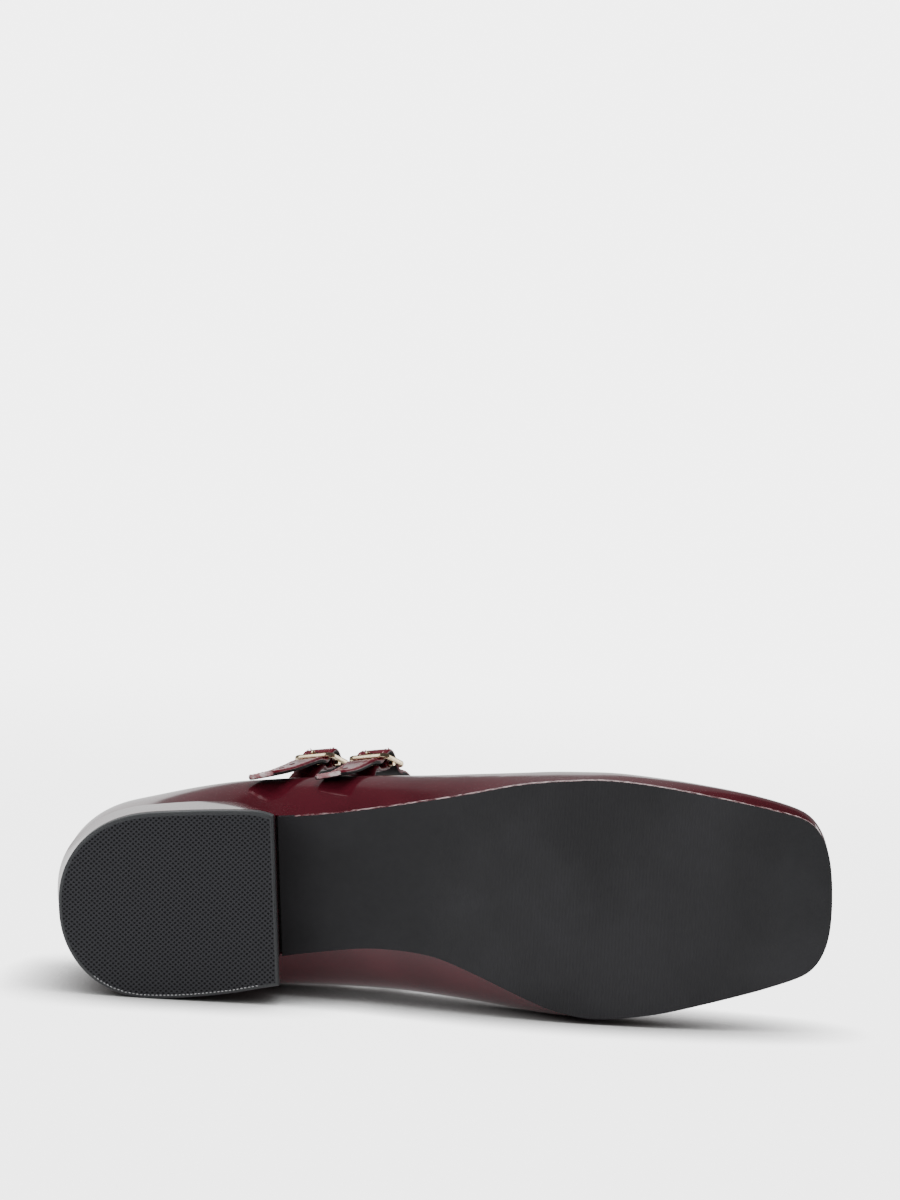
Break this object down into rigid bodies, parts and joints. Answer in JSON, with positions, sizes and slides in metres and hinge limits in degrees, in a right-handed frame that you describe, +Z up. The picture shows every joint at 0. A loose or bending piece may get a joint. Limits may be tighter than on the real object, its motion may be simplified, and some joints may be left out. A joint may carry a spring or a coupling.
{
  "type": "double-strap low-heeled shoe",
  "caption": "Square-toed low-heeled dress shoe for a right foot, open over the instep, with two buckled straps that hold it on.",
  "frame": {"origin": "middle of the bounding box at the floor the shoe lies on", "axes": "the shoe lies on its inner side: +X towards the toe, -Y the way the sole faces, +Z up to the outer side"},
  "size_m": [0.2534, 0.095, 0.0809],
  "materials": {
    "patent": "glossy patent, burgundy",
    "lining": "matt, black",
    "outsole": "matt, black",
    "top_piece": "matt with fine pits, dark grey",
    "buckle": "polished, pale gold"
  },
  "bodies": {
    "root": {"upper": "patent", "insole": "lining", "outsole": "outsole", "heel_block": "patent", "top_piece": "top_piece", "strap_rear": "patent", "buckle_strap_rear": "patent", "buckle_frame_rear": "buckle", "buckle_prong_rear": "buckle", "strap_front": "patent", "buckle_strap_front": "patent", "buckle_frame_front": "buckle", "buckle_prong_front": "buckle"}
  },
  "joints": []
}
